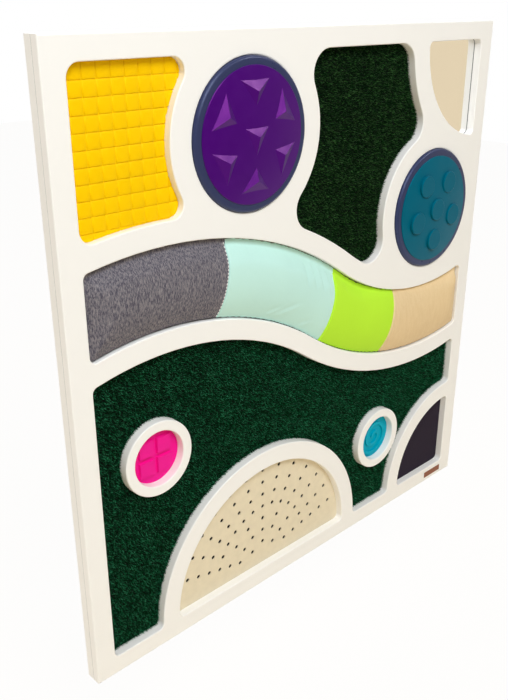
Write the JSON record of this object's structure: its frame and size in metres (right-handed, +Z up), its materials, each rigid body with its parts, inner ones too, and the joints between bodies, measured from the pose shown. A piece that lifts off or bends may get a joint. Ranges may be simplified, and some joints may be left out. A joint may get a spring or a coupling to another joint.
{
  "type": "activity panel",
  "caption": "Wall-hung sensory activity panel: lacquered boards whose curved openings show tactile inserts, such as turf, a padded fabric wave, relief discs, a mirror and a perforated sheet.",
  "frame": {"origin": "centre of the back face, which lies on the wall", "axes": "+X to the viewer's right, +Y into the wall, +Z up; the front faces -Y"},
  "size_m": [1.2, 0.06, 1.2],
  "materials": {
    "white_lacquer": "satin white lacquer on board",
    "slate_rubber": "dark slate rubber, satin",
    "purple_rubber": "satin purple rubber",
    "teal_rubber": "satin teal rubber",
    "pink_rubber": "satin pink rubber",
    "blue_rubber": "satin blue rubber",
    "yellow_rubber": "satin yellow rubber",
    "turf_pile": "dark green synthetic turf",
    "mirror_acrylic": "mirrored acrylic",
    "beige_sheet": "matte beige sheet",
    "aubergine_felt": "dark felt",
    "plywood": "bare plywood",
    "foam": "open-cell foam",
    "denim_cloth": "denim twill",
    "aqua_cloth": "smooth cloth",
    "lime_cloth": "smooth cloth",
    "sand_cloth": "satin cloth",
    "steel": "zinc-plated steel"
  },
  "bodies": {
    "root": {"back_board": "white_lacquer", "front_board": "white_lacquer", "left_ring": "white_lacquer", "right_ring": "white_lacquer", "purple_disc_base": "slate_rubber", "teal_disc_base": "slate_rubber", "purple_disc_face": "purple_rubber", "teal_disc_face": "teal_rubber", "pink_disc": "pink_rubber", "blue_disc": "blue_rubber", "tile_mat": "yellow_rubber", "upper_turf": "turf_pile", "lower_turf": "turf_pile", "mirror_sheet": "mirror_acrylic", "perforated_panel": "beige_sheet", "felt_quarter": "aubergine_felt", "pad_board": "plywood", "pad_foam": "foam", "denim_cover": "denim_cloth", "aqua_cover": "aqua_cloth", "lime_cover": "lime_cloth", "sand_cover": "sand_cloth", "board_screws": "steel", "ring_screws": "steel", "disc_screws": "steel", "pad_screws": "steel", "hanger_screws": "steel", "lower_left_hanger": "steel", "upper_left_hanger": "steel", "lower_right_hanger": "steel", "upper_right_hanger": "steel"}
  },
  "joints": []
}
